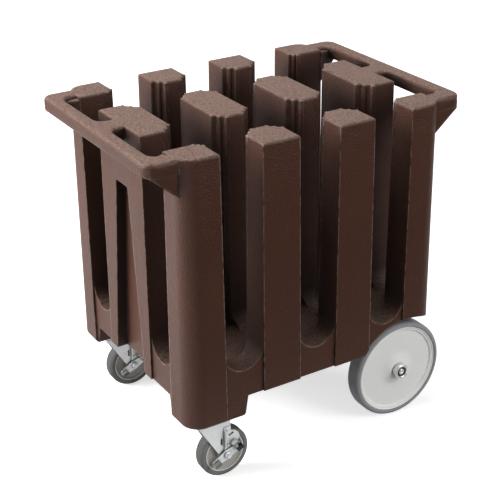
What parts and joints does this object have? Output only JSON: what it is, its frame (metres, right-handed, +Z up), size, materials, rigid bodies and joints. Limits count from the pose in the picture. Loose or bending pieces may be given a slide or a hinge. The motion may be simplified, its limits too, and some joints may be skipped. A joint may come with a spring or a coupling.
{
  "type": "dish caddy",
  "caption": "Moulded plastic dish caddy with round plate wells between ribbed posts, end handles, large wheels at one end and braked swivel casters at the other.",
  "frame": {"origin": "on the floor, under the middle of the caddy's overall length and width", "axes": "+X towards the end with the large wheels, +Y across the caddy, +Z up; the casters are at -X"},
  "size_m": [0.819, 0.578, 0.82],
  "materials": {
    "body_plastic": "dark brown rotationally moulded polyethylene with a fine matt grain",
    "zinc_steel": "pressed steel with bright zinc plating",
    "bright_steel": "turned bright steel",
    "spring_steel": "oiled spring steel",
    "cap_metal": "bright plated pressed cap",
    "bushing_nylon": "grey nylon",
    "insert_brass": "turned brass",
    "wheel_core_plastic": "pale grey moulded plastic, satin",
    "wheel_tyre_rubber": "grey solid rubber, dulled",
    "caster_core_plastic": "grey-beige moulded plastic, satin",
    "caster_tyre_rubber": "grey non-marking rubber",
    "black_rubber": "black moulded rubber",
    "grey_rubber": "mid grey moulded rubber with a textured face"
  },
  "bodies": {
    "caddy": {"caddy_body": "body_plastic", "rear_axle": "bright_steel", "strap_bolts": "zinc_steel", "strap_inserts": "insert_brass", "axle_strap_near": "zinc_steel", "axle_strap_far": "zinc_steel", "plate_bolts_near": "zinc_steel", "plate_bolts_far": "zinc_steel", "plate_inserts_near": "insert_brass", "plate_inserts_far": "insert_brass", "top_plate_near": "zinc_steel", "top_plate_far": "zinc_steel", "kingpin_near": "zinc_steel", "kingpin_far": "zinc_steel", "inner_spacer_near": "bright_steel", "inner_spacer_far": "bright_steel", "outer_washer_near": "bright_steel", "outer_washer_far": "bright_steel", "retaining_cap_near": "cap_metal", "retaining_cap_far": "cap_metal"},
    "large_wheel_near": {"wheel_core_near": "wheel_core_plastic", "wheel_tyre_near": "wheel_tyre_rubber", "outer_bushing_near": "bushing_nylon", "inner_bushing_near": "bushing_nylon"},
    "swivel_near": {"fork_near": "zinc_steel", "swivel_balls_near": "bright_steel", "axle_bolt_near": "zinc_steel", "axle_nut_near": "zinc_steel", "axle_sleeve_near": "bright_steel", "brake_bracket_near": "zinc_steel", "bracket_rivets_near": "zinc_steel", "brake_spring_near": "spring_steel"},
    "caster_wheel_near": {"caster_core_near": "caster_core_plastic", "caster_tyre_near": "caster_tyre_rubber"},
    "brake_near": {"brake_lever_near": "zinc_steel", "brake_pad_near": "black_rubber", "pedal_grip_near": "grey_rubber"},
    "large_wheel_far": {"wheel_core_far": "wheel_core_plastic", "wheel_tyre_far": "wheel_tyre_rubber", "outer_bushing_far": "bushing_nylon", "inner_bushing_far": "bushing_nylon"},
    "swivel_far": {"fork_far": "zinc_steel", "swivel_balls_far": "bright_steel", "axle_bolt_far": "zinc_steel", "axle_nut_far": "zinc_steel", "axle_sleeve_far": "bright_steel", "brake_bracket_far": "zinc_steel", "bracket_rivets_far": "zinc_steel", "brake_spring_far": "spring_steel"},
    "caster_wheel_far": {"caster_core_far": "caster_core_plastic", "caster_tyre_far": "caster_tyre_rubber"},
    "brake_far": {"brake_lever_far": "zinc_steel", "brake_pad_far": "black_rubber", "pedal_grip_far": "grey_rubber"}
  },
  "joints": [
    {"name": "large_wheel_spin_near", "type": "hinge", "parent": "caddy", "child": "large_wheel_near", "pos_m": [0.2635, -0.2388, 0.127], "axis": [0, 1, 0], "continuous": true},
    {"name": "swivel_turn_near", "type": "hinge", "parent": "caddy", "child": "swivel_near", "pos_m": [-0.2635, -0.2375, 0.16], "axis": [0, 0, 1], "continuous": true},
    {"name": "caster_wheel_spin_near", "type": "hinge", "parent": "swivel_near", "child": "caster_wheel_near", "pos_m": [-0.2355, -0.2375, 0.0635], "axis": [0, 1, 0], "continuous": true},
    {"name": "brake_tilt_near", "type": "hinge", "parent": "swivel_near", "child": "brake_near", "pos_m": [-0.2355, -0.2375, 0.0635], "axis": [0, 1, 0], "range_deg": [0, 12]},
    {"name": "large_wheel_spin_far", "type": "hinge", "parent": "caddy", "child": "large_wheel_far", "pos_m": [0.2635, 0.2388, 0.127], "axis": [0, 1, 0], "continuous": true},
    {"name": "swivel_turn_far", "type": "hinge", "parent": "caddy", "child": "swivel_far", "pos_m": [-0.2635, 0.2375, 0.16], "axis": [0, 0, 1], "continuous": true},
    {"name": "caster_wheel_spin_far", "type": "hinge", "parent": "swivel_far", "child": "caster_wheel_far", "pos_m": [-0.2355, 0.2375, 0.0635], "axis": [0, 1, 0], "continuous": true},
    {"name": "brake_tilt_far", "type": "hinge", "parent": "swivel_far", "child": "brake_far", "pos_m": [-0.2355, 0.2375, 0.0635], "axis": [0, 1, 0], "range_deg": [0, 12]}
  ]
}
